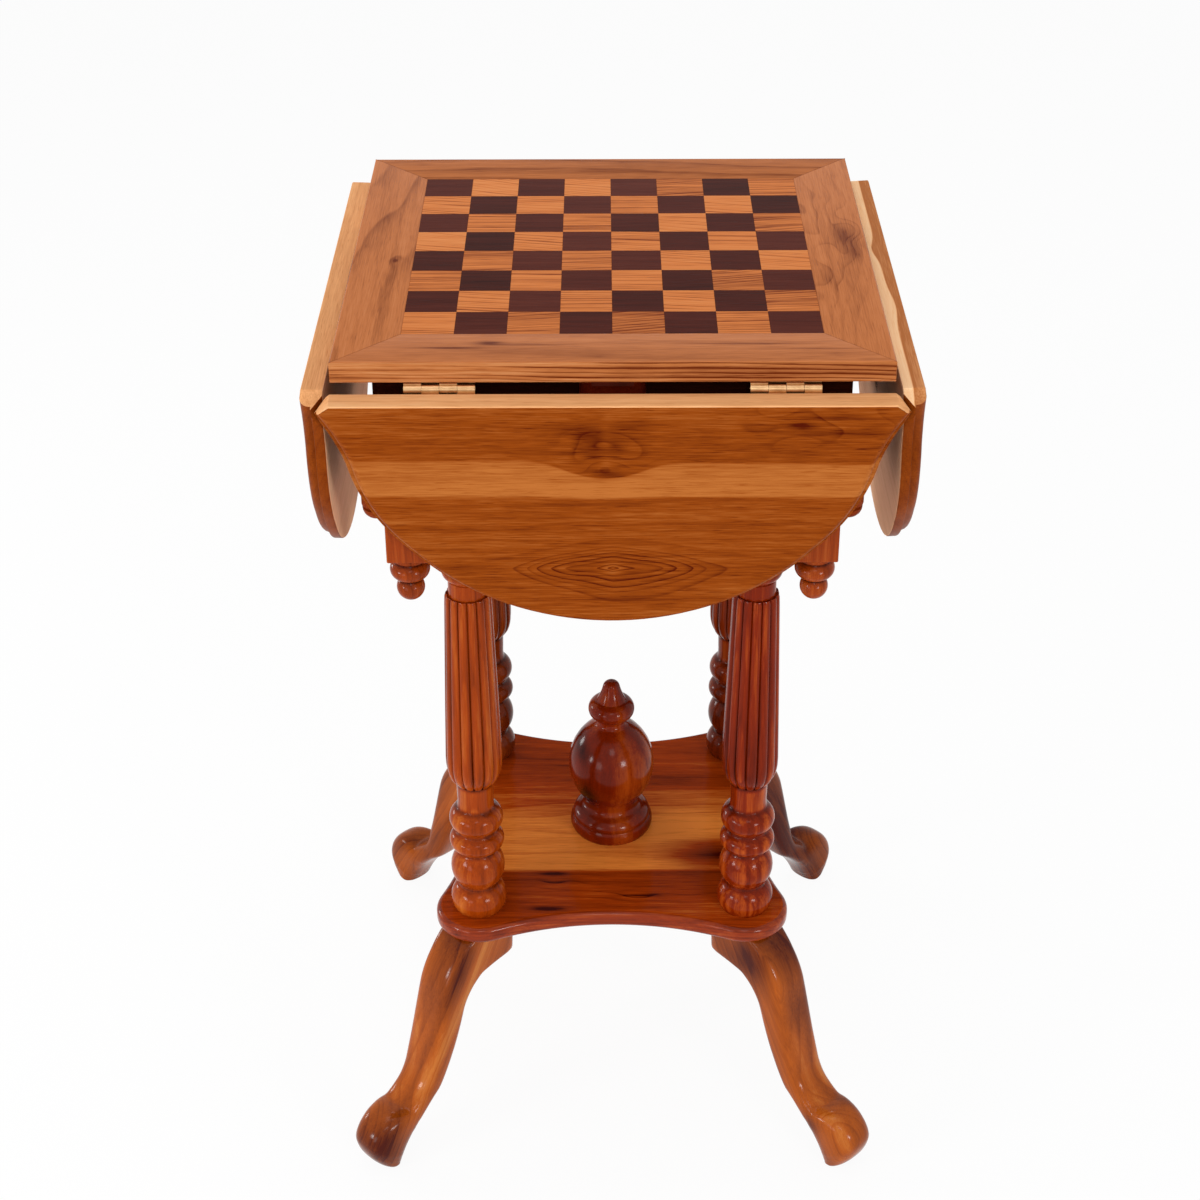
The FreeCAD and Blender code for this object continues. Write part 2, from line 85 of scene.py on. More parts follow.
class Strand:
    """A socket of a node tree. Arithmetic on it adds Math nodes to that tree."""

    def __init__(self, socket):
        self.socket = socket

    def node(self, kind, settings, inputs, output=0):
        tree = self.socket.id_data
        made = tree.nodes.new(kind)
        for name, value in settings.items():
            if name == "stops":
                lay_stops(made.color_ramp, value)
            elif name == "curve":
                lay_curve(made.mapping, value)
            else:
                setattr(made, name, value)
        for name, value in inputs.items():
            if isinstance(value, Strand):
                tree.links.new(value.socket, made.inputs[name])
            else:
                made.inputs[name].default_value = value
        return Strand(made.outputs[output]) if made.outputs else None

    def math(self, operation, *others):
        return self.node("ShaderNodeMath", {"operation": operation}, dict(enumerate((self, *others))))

    def __add__(self, other):
        return self.math("ADD", other)

    __radd__ = __add__

    def __sub__(self, other):
        return self.math("SUBTRACT", other)

    def __rsub__(self, other):
        return self.node("ShaderNodeMath", {"operation": "SUBTRACT"}, {0: other, 1: self})

    def __mul__(self, other):
        return self.math("MULTIPLY", other)

    __rmul__ = __mul__

    def __truediv__(self, other):
        return self.math("DIVIDE", other)

    def __pow__(self, other):
        return self.math("POWER", other)

    def parts(self):
        split = self.node("ShaderNodeSeparateXYZ", {}, {"Vector": self})
        return [Strand(socket) for socket in split.socket.node.outputs]

    def stretched(self, factors):
        return self.node("ShaderNodeVectorMath", {"operation": "MULTIPLY"}, {0: self, 1: factors})

    def cloud(self, waves, detail, distortion=0.0):
        return self.node("ShaderNodeTexNoise", {}, {
            "Vector": self.stretched(waves), "Scale": 1.0, "Detail": detail, "Distortion": distortion})

    def ramped(self, low, high):
        settings = {"interpolation_type": "SMOOTHSTEP"}
        return self.node("ShaderNodeMapRange", settings, {"Value": self, "From Min": low, "From Max": high})

    def toned(self, stops):
        return self.node("ShaderNodeValToRGB", {"stops": stops}, {"Fac": self})


def lay_stops(ramp, stops):
    for number, (position, colour) in enumerate(stops):
        stop = ramp.elements[number] if number < 2 else ramp.elements.new(position)
        stop.position = position
        stop.color = colour


def lay_curve(mapping, points):
    curve = mapping.curves[0]
    for number, (along, height) in enumerate(points):
        point = curve.points[number] if number < 2 else curve.points.new(along, height)
        point.location = (along, height)
        point.handle_type = "VECTOR"
    mapping.update()


def linear(colour):
    shares = [value / 255 for value in colour]
    channels = [share / 12.92 if share <= 0.04045 else ((share + 0.055) / 1.055) ** 2.4 for share in shares]
    return (*channels, 1.0)


def grey(value):
    return (value, value, value, 1.0)


def bare_tree(owner):
    owner.use_nodes = True
    owner.node_tree.nodes.clear()
    return owner.node_tree


def new_finish(name):
    material = bpy.data.materials.new(name)
    return material, Strand(bare_tree(material).nodes.new("ShaderNodeTexCoord").outputs["Object"])


def surfaced(colour, height, strength, distance, sockets):
    """Ends a finish with a bump from a height, the shader and the output."""
    bump = height.node("ShaderNodeBump", {}, {"Strength": strength, "Distance": distance, "Height": height})
    surface = colour.node("ShaderNodeBsdfPrincipled", {}, {"Base Color": colour, "Normal": bump, **sockets})
    surface.node("ShaderNodeOutputMaterial", {}, {"Surface": surface})


def hump(x, y, place, power=2.0):
    """1 at the middle of a place (along, across, reach along, reach across), fading out around it."""
    off_along = (x - place[0]) / place[2]
    off_across = (y - place[1]) / place[3]
    fall = 0 - off_along.math("ABSOLUTE") ** power - off_across.math("ABSOLUTE") ** power
    return fall.math("EXPONENT")


# waves to the metre along, across and through a board
sweep_waves = (2.2, 9, 9)
fade_waves = (9, 40, 40)
burl_waves = (24, 36, 36)
tremble_waves = (16, 60, 60)
streak_waves = (5.5, 170, 170)
cloud_waves = (4.0, 32, 32)
fibre_waves = (40, 1000, 1000)
pore_waves = (60, 1200, 1200)
line_shade, tile_shade, pore_shade, seam_shade = 1.6, 0.36, 0.32, 0.18
fibre_height = 0.0003
seam_width = 0.0011
tile_tilt = 0.5


def teak(name, along, across, centre, tones, spacing=0.0045, slopes=(0.0, 0.8, 0.35), wander=0.012,
         lines=0.10, streaks=0.45, clouds=0.40, fineness=1.0, band=None, bends=(), eyes=(), burls=(), patches=(),
         tile=None, groove=0.0, seams=None, fibres=0.5, roughness=0.3, specular=0.02, relief=0.06):
    """Lacquered wood. Streaks run along it, and growth rings follow a depth across the board, bent by knots.

    Bends, eyes, burls and patches are places for hump, each followed by its force: a shift across for a bend,
    a change of depth and stronger lines for an eye or a burl, a change of tone for a patch.
    """
    material, coordinates = new_finish(name)
    along = Vector(along).normalized()
    across = Vector(across).normalized()
    turn = Matrix((along, across, along.cross(across))).transposed().to_euler()
    board = coordinates.node("ShaderNodeMapping", {"vector_type": "TEXTURE"},
                             {"Vector": coordinates, "Location": centre, "Rotation": turn})
    if tile:
        cell = board.node("ShaderNodeVectorMath", {"operation": "FLOOR"}, {0: board.stretched((1 / tile,) * 3)})
        chance = board.node("ShaderNodeTexWhiteNoise", {}, {"Vector": cell}, "Color")
        shade = board.node("ShaderNodeTexWhiteNoise", {}, {"Vector": cell}, "Value") - 0.5
        board = board.node("ShaderNodeVectorMath", {"operation": "ADD"}, {0: board, 1: chance})
    x, y, z = board.parts()
    for place in bends:
        y = y + hump(x, y, place) * place[4]
    depth = x * slopes[0] + y * slopes[1] + z * slopes[2] + (board.cloud(sweep_waves, 2) - 0.5) * wander * 2
    if tile:
        depth = depth + x * shade * tile_tilt
    line_force = board.cloud(fade_waves, 2).ramped(0.25, 0.55) * lines
    for place in eyes:
        swirl = hump(x, y, place, 1.4)
        depth = depth + swirl * place[4]
        line_force = line_force + (swirl ** 0.5) * place[5]
    for place in burls:
        swirl = hump(x, y, place)
        depth = depth + swirl * (board.cloud(burl_waves, 0) - 0.5) * place[4]
        line_force = line_force + swirl * place[5]
    count = depth / spacing
    wave = count.node("ShaderNodeTexNoise", {"noise_dimensions": "1D"},
                      {"W": count * 0.31, "Scale": 1.0, "Detail": 1.0})
    count = count + wave * 2.4 + (board.cloud(tremble_waves, 2) - 0.5) * 0.3
    ring = count.math("FLOOR")
    ring_share = count.math("FRACT")
    ring_force = ring.node("ShaderNodeTexWhiteNoise", {"noise_dimensions": "1D"}, {"W": ring}, "Value")
    line = (1 - ring_share) ** 4.0 * (0.4 + ring_force * 0.6) * ring_share.ramped(0.0, 0.12) * line_force
    fibre = board.cloud(fibre_waves, 3) - 0.5
    streak = board.cloud([waves * fineness for waves in streak_waves], 5) - 0.5
    broad = board.cloud(cloud_waves, 3) - 0.5
    tone = 0.5 + streak * streaks + broad * clouds + fibre * fibres - line * line_shade
    if tile:
        tone = tone + shade * tile_shade
    if band:
        start, end, levels = band
        tone = tone + (((y - start) / (end - start)).toned([(at, grey(value)) for at, value in levels]) - 0.5)
    for place in patches:
        tone = tone + hump(x, y, place) * (1 + streak * 1.6) * place[4]
    pores = board.cloud(pore_waves, 1).ramped(0.60, 0.74)
    tone = tone - pores * fibres * pore_shade
    # Painted shade: darker down the hollows between the reeds, by the stored groove attribute.
    if groove:
        tone = tone - tone.node("ShaderNodeAttribute", {"attribute_name": "groove"}, {}, "Fac") * groove
    if seams:
        deep = 0 - y
        rim = (deep - x.math("ABSOLUTE")).math("MINIMUM", deep - seams)
        tone = tone - (1 - rim.ramped(0.0, seam_width)) * seam_shade
    dark, mid, light = [linear(colour) for colour in tones]
    surfaced(tone.toned([(0.0, dark), (1.0, light), (0.5, mid)]), fibre - pores * 0.8, relief, fibre_height, {
        "Roughness": roughness + fibre * 0.06 + pores * 0.06, "Specular IOR Level": specular})
    return material


def smoothed(mesh, sharp_degrees):
    mesh.polygons.foreach_set("use_smooth", [True] * len(mesh.polygons))
    mesh.set_sharp_from_angle(angle=math.radians(sharp_degrees))
    return mesh


def filled(mesh, shell, sharp_degrees):
    shell.to_mesh(mesh)
    shell.free()
    return smoothed(mesh, sharp_degrees)


def skin(name, rings, sharp_degrees=40):
    """A closed mesh through rings that have as many points each, with a flat cap at either end."""
    size = len(rings[0])
    faces = [tuple(range(size)), tuple(range((len(rings) - 1) * size, len(rings) * size))]
    for level in range(len(rings) - 1):
        low = level * size
        for number in range(size):
            beside = (number + 1) % size
            faces.append((low + number, low + beside, low + size + beside, low + size + number))
    mesh = bpy.data.meshes.new(name)
    mesh.from_pydata([point for ring in rings for point in ring], [], faces)
    shell = bmesh.new()
    shell.from_mesh(mesh)
    bmesh.ops.remove_doubles(shell, verts=shell.verts, dist=weld_distance)
    bmesh.ops.dissolve_degenerate(shell, edges=shell.edges, dist=weld_distance / 10)
    bmesh.ops.recalc_face_normals(shell, faces=shell.faces)
    return filled(mesh, shell, sharp_degrees)


def placed(name, data):
    made = bpy.data.objects.new(name, data)
    bpy.context.scene.collection.objects.link(made)
    return made


def piece(node, mesh, body, slot, *finishes):
    """A mesh with its finishes, which stands for the CAD node of that name."""
    mesh.name = node
    for finish in finishes:
        mesh.materials.append(finish)
    made = placed(node, mesh)
    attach(made, body)
    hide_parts(node)
    return made


def spun(degrees):
    return Matrix.Rotation(math.radians(degrees), 4, "Z")


def moved(mesh, place):
    copy = mesh.copy()
    copy.transform(place)
    return copy


def traced(points, turn_step):
    """The points of an open outline, with its arcs divided. A bulge is a share of the chord, to the right."""
    path = []
    for (start_x, start_y, bulge), (end_x, end_y, _) in zip(points, points[1:]):
        start = Vector((start_x, start_y))
        end = Vector((end_x, end_y))
        path.append(start)
        if bulge == 0:
            continue
        chord = (end - start).length
        run = (end - start) / chord
        right = Vector((run.y, -run.x)) * math.copysign(1, bulge)
        half_turn = 2 * math.atan(2 * abs(bulge))
        radius = chord / 2 / math.sin(half_turn)
        steps = max(3, math.ceil(2 * half_turn / turn_step))
        for step in range(1, steps):
            angle = half_turn * (2 * step / steps - 1)
            rise = radius * (math.cos(angle) - math.cos(half_turn))
            path.append((start + end) / 2 + run * radius * math.sin(angle) + right * rise)
    path.append(Vector(points[-1][:2]))
    return path


def between(pairs, share):
    """The value at a share of the way along a list of (share, value) pairs."""
    for (start, low), (end, high) in zip(pairs, pairs[1:]):
        if share <= end:
            return low + (high - low) * (share - start) / (end - start)
    return pairs[-1][1]


def walked(points):
    """Evenly spaced points along an outline, with its corners eased."""
    path = traced(points, fine_turn)
    lengths = [0.0]
    for start, end in zip(path, path[1:]):
        lengths.append(lengths[-1] + (end - start).length)
    shares = [length / lengths[-1] for length in lengths]
    pairs_x = [(share, spot.x) for share, spot in zip(shares, path)]
    pairs_y = [(share, spot.y) for share, spot in zip(shares, path)]
    steps = [step / line_steps for step in range(line_steps + 1)]
    spots = [Vector((between(pairs_x, step), between(pairs_y, step))) for step in steps]
    for _ in range(line_easing):
        middles = [(before + spot * 2 + after) / 4 for before, spot, after in zip(spots, spots[1:], spots[2:])]
        spots = [spots[0], *middles, spots[-1]]
    return spots


def rounded(value, squareness):
    return math.copysign(abs(value) ** squareness, value)


def leg_rings():
    outer_path = walked(leg_outer_line)
    inner_path = walked(leg_inner_line)
    rings = []
    for level in range(leg_levels + 1):
        share = level / leg_levels
        outer = outer_path[round(share * line_steps)]
        inner = inner_path[round(between(leg_matches, share) * line_steps)]
        width = between(leg_widths, share) * leg_half_width
        squareness = between(leg_squareness, share)
        ring = []
        for count in range(section_points):
            angle = 2 * math.pi * count / section_points
            side = rounded(math.cos(angle), squareness)
            softness = outer_softness if math.sin(angle) > 0 else 0.0
            spot = (outer + inner) / 2 + (outer - inner) / 2 * rounded(math.sin(angle), squareness + softness)
            ring.append(Vector((spot.x, width * side, max(0.0, spot.y))))
        rings.append(ring)
    return rings


leg_mesh = skin("leg", leg_rings(), 60)
leg_tones = ((70, 15, 1), (164, 79, 20), (212, 138, 66))
leg_figures = {
    # dark heartwood along the outer face, pale sapwood at its edges
    "front_left": (
        (-0.075, 0.020, 0.040, 0.010, -0.42), (-0.10, 0.046, 0.03, 0.012, 0.6), (0.100, 0.03, 0.030, 0.05, -0.40)),
    "front_right": (
        (-0.085, 0.010, 0.028, 0.03, -0.45), (-0.01, 0.024, 0.04, 0.008, -0.30), (0.075, 0.0, 0.010, 0.02, -0.35),
        (0.110, 0.03, 0.030, 0.05, -0.15)),
    "back_left": ((0.02, 0.02, 0.05, 0.02, -0.20), (0.0, 0.0, 0.20, 0.10, -0.16)),
    "back_right": ((0.0, 0.0, 0.20, 0.10, -0.46),),
}
leg_gloss = {"front_left": 0.14, "front_right": 0.14, "back_left": 0.07, "back_right": 0.07}
leg_run_out, leg_run_down = 0.5, 0.87
leg_middle_out, leg_middle_height = 0.22, 0.1
for corner, turn in corner_turns.items():
    place = spun(turn + leg_turn)
    out = place @ rightward
    grain = out * leg_run_out - upward * leg_run_down
    piece("leg_" + corner, moved(leg_mesh, place), "table", "teak", teak(
        "leg_lacquer_" + corner, grain, out * leg_run_down + upward * leg_run_out,
        out * leg_middle_out + upward * leg_middle_height, leg_tones, spacing=0.006, slopes=(0.03, 0.8, 0.6),
        wander=0.02, lines=0.16, streaks=0.55, clouds=0.8, fineness=0.6, fibres=0.25, patches=leg_figures[corner],
        roughness=0.16, specular=leg_gloss[corner], relief=0.01))

# Shelf
# A shelf of three teak planks glued edge to edge, sawn with a lobe under each column and hollow sides.
# Its edge is rounded over and lacquered; the front plank is darker heartwood with a small knot.
shelf_bottom, shelf_top = [corner.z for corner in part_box("shelf")]
column_centre = 0.114
lobe_radius = 0.037
shelf_waist = 0.128
shelf_edge = 0.0052
shelf_arc_steps = 28
level_facing = 0.985
quarter_turns = [Matrix.Rotation(math.radians(90 * quarter), 2) for quarter in range(4)]


def arc(centre, radius, start, end, steps):
    angles = [start + (end - start) * step / steps for step in range(steps)]
    return [centre + radius * Vector((math.cos(angle), math.sin(angle))) for angle in angles]


def shelf_outline():
    hollow = (column_centre ** 2 + (shelf_waist - column_centre) ** 2 - lobe_radius ** 2)
    hollow = hollow / (2 * (lobe_radius - shelf_waist + column_centre))
    lobe = Vector((column_centre, -column_centre))
    middle = Vector((0, -shelf_waist - hollow))
    toward = math.atan2(middle.y - lobe.y, middle.x - lobe.x)
    lean = math.pi / 2 - math.atan2(lobe.y - middle.y, lobe.x - middle.x)
    side = arc(middle, hollow, math.pi / 2 + lean, math.pi / 2 - lean, shelf_arc_steps)
    side += arc(lobe, lobe_radius, toward, -math.pi / 2 - toward, shelf_arc_steps)
    return [turn @ point for turn in quarter_turns for point in side]


def inward_ways(outline):
    """The way in from each point of a closed outline that runs anticlockwise."""
    ways = []
    for number in range(len(outline)):
        run = (outline[(number + 1) % len(outline)] - outline[number - 1]).normalized()
        ways.append(Vector((-run.y, run.x)))
    return ways


def inset_rings(outline, levels):
    """The outline drawn in by each level's inset, at each level's height."""
    ways = inward_ways(outline)
    return [[Vector((*(point + way * inset), height)) for point, way in zip(outline, ways)]
            for inset, height in levels]


def rounded_over(low, high, radius, steps=6):
    """Levels of a board's edge that is rounded at both faces."""
    levels = [(radius * 1.1, low)]
    for step in range(steps + 1):
        angle = math.pi / 2 * step / steps
        levels.append((radius * (1 - math.sin(angle)), low + radius * (1 - math.cos(angle))))
    return levels + [(inset, low + high - height) for inset, height in reversed(levels)]


shelf_mesh = skin("shelf", inset_rings(shelf_outline(), rounded_over(shelf_bottom, shelf_top, shelf_edge)))
shelf_finish = teak(
    "shelf_lacquer", rightward, backward, upward * shelf_top, ((66, 8, 1), (168, 62, 9), (240, 142, 58)),
    spacing=0.006, slopes=(0.0, 0.5, 0.4), wander=0.02, lines=0.16, streaks=0.5, clouds=0.6,
    band=(-0.15, 0.15, ((0.0, 0.45), (0.262, 0.43), (0.278, 0.92), (0.36, 0.90), (0.52, 0.86), (0.58, 0.64),
                        (0.70, 0.50), (0.78, 0.40), (1.0, 0.40))),
    burls=((-0.050, -0.085, 0.020, 0.008, 0.02, 0.3), (0.024, -0.104, 0.03, 0.006, 0.02, 0.4)),
    # The second patch, lighter just right of the finial, is painted light over the shadow the front right column
    # casts there.
    patches=((0.100, -0.046, 0.044, 0.022, -0.85), (0.07, 0.0, 0.05, 0.03, 0.22),
             (-0.050, -0.074, 0.012, 0.0030, -0.45), (0.026, -0.104, 0.018, 0.0018, -0.5),
             (-0.055, -0.122, 0.014, 0.003, -0.6), (-0.05, -0.05, 0.05, 0.02, 0.10),
             (0.03, 0.062, 0.07, 0.012, -0.2)),
    roughness=0.12, specular=0.018, relief=0.01)
shelf_edge_finish = teak(
    "shelf_edge_lacquer", rightward, backward, upward * shelf_top, ((50, 6, 1), (132, 44, 8), (186, 88, 30)),
    spacing=0.004, slopes=(0.0, 0.3, 0.9), wander=0.01, lines=0.25, streaks=0.8, clouds=0.6, fibres=0.25,
    roughness=0.15, specular=0.18, relief=0.01)
for face in shelf_mesh.polygons:
    face.material_index = 1 if abs(face.normal.z) < level_facing else 0
piece("shelf", shelf_mesh, "table", "teak", shelf_finish, shelf_edge_finish)

# Finial
# A turned urn on the middle of the shelf, held by a tenon, of dark red teak under a high gloss.
turning_points = 96
coarse_turn = 0.17
finial_middle = 0.28
finial_profile = (
    # radius, height above the shelf, bulge of the arc to the next point
    (0.0, 0.0, 0.0),
    (0.0340, 0.0, 0.15),
    (0.0352, 0.0130, 0.0),
    (0.0342, 0.0136, 0.0),
    (0.0345, 0.0143, 0.16),
    (0.0265, 0.0240, 0.0),
    (0.0250, 0.0255, 0.0),
    (0.0246, 0.0266, -0.12),
    (0.0256, 0.0360, 0.215),
    (0.0185, 0.1075, 0.0),
    (0.0160, 0.1092, -0.22),
    (0.0148, 0.1172, 0.36),
    (0.0128, 0.1348, -0.04),
    (0.0074, 0.1484, 0.22),
    (0.0, 0.1535, 0.0),
)


def lathe(name, profile, base):
    angles = [2 * math.pi * number / turning_points for number in range(turning_points)]
    return skin(name, [[(spot.x * math.cos(angle), spot.x * math.sin(angle), base + spot.y) for angle in angles]
                       for spot in traced(profile, coarse_turn)], 35)


piece("finial", lathe("finial", finial_profile, shelf_top), "table", "dark_teak", teak(
    "finial_lacquer", upward, rightward, upward * finial_middle, ((36, 1, 1), (112, 28, 2), (186, 84, 20)),
    spacing=0.008, slopes=(0.05, 0.9, 0.5), wander=0.03, lines=0.05, streaks=0.35, clouds=0.9, fibres=0.25,
    # The last patch, lighter down the right side of the urn, is painted light falling from the right.
    patches=((-0.020, -0.022, 0.018, 0.008, -0.5), (0.03, -0.026, 0.012, 0.006, -0.4),
             (0.01, 0.034, 0.04, 0.010, 0.35)),
    roughness=0.15, specular=0.12, relief=0.008))

# Columns
# Four turned teak columns with a reeded, tapering shaft between beaded ends, tenoned into shelf and frame.
# The reeds are carved by hand between grooves darkened with painted shade; their ends stand proud of the plain
# collar above.
shaft_bottom = 0.3455
shaft_height = 0.1835
head_bottom = shaft_bottom + shaft_height
column_radius = 0.0235
column_middle = 0.4
reed_count = 14
reed_depth = 0.13
reed_crown = 1.02
groove_fall = 1.3
reed_weld = 1e-5
points_per_reed = 10
shaft_levels = 26
column_foot_profile = (
    (0.0, 0.0, 0.0),
    (0.0208, 0.0, 0.17),
    (0.0188, 0.0236, 0.0),
    (0.0174, 0.0246, -0.10),
    (0.0174, 0.0284, 0.0),
    (0.0182, 0.0290, 0.165),
    (0.0176, 0.0588, 0.0),
    (0.0168, 0.0600, -0.12),
    (0.0172, 0.0628, 0.0),
    (0.0190, 0.0638, 0.26),
    (0.0192, 0.0788, 0.0),
    (0.0176, 0.0796, -0.10),
    (0.0168, 0.0828, 0.0),
    (0.0174, 0.0836, 0.27),
    (0.0162, 0.1050, 0.0),
    (0.0156, 0.1058, -0.03),
    (0.0152, 0.1180, 0.0),
    (0.0154, 0.1302, 0.0),
    (0.0, 0.1312, 0.0),
)
column_head_profile = (
    (0.0, -0.001, 0.0),
    (0.0155, -0.001, 0.0),
    (0.0155, 0.0130, 0.0),
    (0.0148, 0.0136, 0.0),
    (0.0148, 0.0144, 0.0),
    (0.0172, 0.0156, 0.25),
    (0.0172, 0.0280, -0.14),
    (0.0138, 0.0410, 0.20),
    (0.0133, 0.0760, -0.12),
    (0.0170, 0.0825, 0.30),
    (0.0170, 0.0925, 0.0),
    (0.0215, 0.0937, 0.10),
    (0.0222, 0.1040, 0.0),
    (0.0, 0.1040, 0.0),
)
shaft_radius_shares = (
    (0.0, 0.0), (0.04, 0.68), (0.07, 0.76), (0.12, 0.86), (0.18, 0.955), (0.26, 1.0), (0.50, 0.94),
    (0.90, 0.80), (0.93, 0.785), (0.96, 0.77), (1.0, 0.0),
)
shaft_height_shares = (
    (0.0, 0.0), (0.04, 0.0), (0.07, 0.016), (0.12, 0.036), (0.18, 0.070), (0.26, 0.12), (0.50, 0.40),
    (0.90, 0.975), (0.93, 0.993), (0.96, 1.0), (1.0, 1.0),
)


def open_tree(name, sockets):
    """A new Geometry Nodes tree and the strands of its named inputs."""
    tree = bpy.data.node_groups.new(name, "GeometryNodeTree")
    tree.is_modifier = True
    for label, kind in sockets.items():
        tree.interface.new_socket(label, in_out="INPUT", socket_type="NodeSocket" + kind)
    tree.interface.new_socket("Result", in_out="OUTPUT", socket_type="NodeSocketGeometry")
    entry = tree.nodes.new("NodeGroupInput")
    return tree, [Strand(socket) for socket in entry.outputs[:len(sockets)]]


def close_tree(shape, finish):
    real = shape.node("GeometryNodeRealizeInstances", {}, {"Geometry": shape})
    painted = real.node("GeometryNodeSetMaterial", {}, {"Geometry": real, "Material": finish})
    painted.node("NodeGroupOutput", {}, {"Result": painted})


def made_plain(base):
    """The plain mesh that an object's modifiers give. The object itself is removed."""
    graph = bpy.context.evaluated_depsgraph_get()
    mesh = bpy.data.meshes.new_from_object(base.evaluated_get(graph))
    base.modifiers.clear()
    bpy.data.objects.remove(base)
    return mesh


def grown(name, start_mesh, tree, values):
    """The plain mesh that a tree makes from a mesh, with its inputs set by their sockets' identifiers."""
    base = placed(name, start_mesh)
    modifier = base.modifiers.new("shape", "NODES")
    modifier.node_group = tree
    for item in tree.interface.items_tree:
        if item.in_out == "INPUT" and item.name in values:
            modifier[item.identifier] = values[item.name]
    mesh = made_plain(base)
    mesh.name = name
    return mesh


def reeded_shaft_tree():
    tree, (start, reeds, depth, radius, base, height, finish) = open_tree("reeded_shaft", {
        "Start": "Geometry", "Reeds": "Int", "Reed depth": "Float", "Radius": "Float", "Base": "Float",
        "Height": "Float", "Finish": "Material"})
    sheet = start.node("GeometryNodeMeshGrid", {}, {
        "Size X": 1.0, "Size Y": 1.0, "Vertices X": reed_count * points_per_reed + 1, "Vertices Y": shaft_levels})
    across, up, _ = start.node("GeometryNodeInputPosition", {}, {}).parts()
    across = across + 0.5
    up = up + 0.5
    reed = (across * reeds).math("FRACT") * 2 - 1
    crown = (reed_crown - reed * reed).math("SQRT")
    out = up.node("ShaderNodeFloatCurve", {"curve": shaft_radius_shares}, {"Value": up}) * radius
    out = out * (1 - depth * (1 - crown))
    rise = base + height * up.node("ShaderNodeFloatCurve", {"curve": shaft_height_shares}, {"Value": up})
    angle = across * (2 * math.pi)
    spot = out.node("ShaderNodeCombineXYZ", {}, {
        "X": out * angle.math("COSINE"), "Y": out * angle.math("SINE"), "Z": rise})
    # How far into a reed's hollow each point lies, which drives the painted shade there.
    marked = sheet.node("GeometryNodeStoreNamedAttribute", {"data_type": "FLOAT", "domain": "POINT"}, {
        "Geometry": sheet, "Name": "groove", "Value": (1 - crown) ** groove_fall})
    bent = marked.node("GeometryNodeSetPosition", {}, {"Geometry": marked, "Position": spot})
    close_tree(bent.node("GeometryNodeMergeByDistance", {}, {"Geometry": bent, "Distance": reed_weld}), finish)
    return tree


def joined(name, meshes):
    shell = bmesh.new()
    for mesh in meshes:
        shell.from_mesh(mesh)
    return filled(bpy.data.meshes.new(name), shell, 35)


column_tones = {
    "front_left": ((58, 8, 1), (148, 56, 5), (204, 114, 42)),
    "front_right": ((46, 3, 1), (120, 32, 2), (204, 96, 30)),
    "back_left": ((46, 8, 1), (118, 44, 9), (164, 86, 32)),
    "back_right": ((46, 6, 1), (112, 36, 7), (158, 76, 28)),
}
groove_heights = (0.0262, 0.0610, 0.0812, 0.1055, 0.1302)
groove_shades = [(shelf_top + height - column_middle, 0.0, 0.0020, 1.0, -0.35) for height in groove_heights]
# Painted highlight: the foot of the front right column is lightened for the strong glints on its beads.
column_foot_highlight = {"front_right": [(-0.12, 0.0, 0.06, 1.0, 0.15)]}
column_finishes = {}
for corner, tones in column_tones.items():
    column_finishes[corner] = teak(
        "column_lacquer_" + corner, upward, (0.7, 0.7, 0), upward * column_middle, tones, spacing=0.006,
        slopes=(0.03, 0.9, 0.5), wander=0.02, lines=0.16, streaks=0.8, clouds=0.7,
        patches=groove_shades + column_foot_highlight.get(corner, []), groove=0.38, fibres=0.3,
        roughness=0.15, specular=0.10, relief=0.01)
shaft_mesh = grown("shaft", bpy.data.meshes.new("shaft_start"), reeded_shaft_tree(), {
    "Reeds": reed_count, "Reed depth": reed_depth, "Radius": column_radius, "Base": shaft_bottom,
    "Height": shaft_height, "Finish": column_finishes["front_left"],
})
column_mesh = joined("column", [
    shaft_mesh,
    lathe("column_foot", column_foot_profile, shelf_top),
    lathe("column_head", column_head_profile, head_bottom),
])
column_mesh.transform(Matrix.Translation((column_centre, -column_centre, 0)))
for corner, turn in corner_turns.items():
    mesh = moved(column_mesh, spun(turn))
    mesh.materials.clear()
    piece("column_" + corner, mesh, "table", "dark_teak", column_finishes[corner])

# Pendants
# Four square teak blocks with a turned drop, tenoned into the frame's board outside the columns.
pendant_centre = 0.1545
pendant_half = 0.016
pendant_block_bottom = 0.5885
pendant_block_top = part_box("underframe_board")[0].z
pendant_bottom = 0.5495
pendant_arris = 0.0012
pendant_profile = (
    (0.0, 0.0, 0.0),
    (0.0056, 0.0008, 0.23),
    (0.0082, 0.0175, 0.0),
    (0.0086, 0.0182, 0.31),
    (0.0126, 0.0328, 0.0),
    (0.0120, 0.0338, -0.10),
    (0.0132, 0.0352, 0.0),
    (0.0134, 0.0400, 0.0),
    (0.0, 0.0404, 0.0),
)


def sawn(outline, low, high):
    """The shell of a board of that outline between two heights."""
    shell = bmesh.new()
    face = shell.faces.new([shell.verts.new((*point, low)) for point in outline])
    raised = bmesh.ops.extrude_face_region(shell, geom=[face])["geom"]
    rise = [part for part in raised if isinstance(part, bmesh.types.BMVert)]
    bmesh.ops.translate(shell, verts=rise, vec=(0, 0, high - low))
    bmesh.ops.recalc_face_normals(shell, faces=shell.faces)
    return shell


def planed(name, outline, low, high, arris, segments=2):
    """A sawn board with its edges taken off by an arris."""
    shell = sawn(outline, low, high)
    bmesh.ops.bevel(shell, geom=list(shell.edges), offset=arris, segments=segments, profile=0.5, affect="EDGES")
    return filled(bpy.data.meshes.new(name), shell, 30)


def box_outline(low_x, high_x, low_y, high_y):
    return ((low_x, low_y), (high_x, low_y), (high_x, high_y), (low_x, high_y))


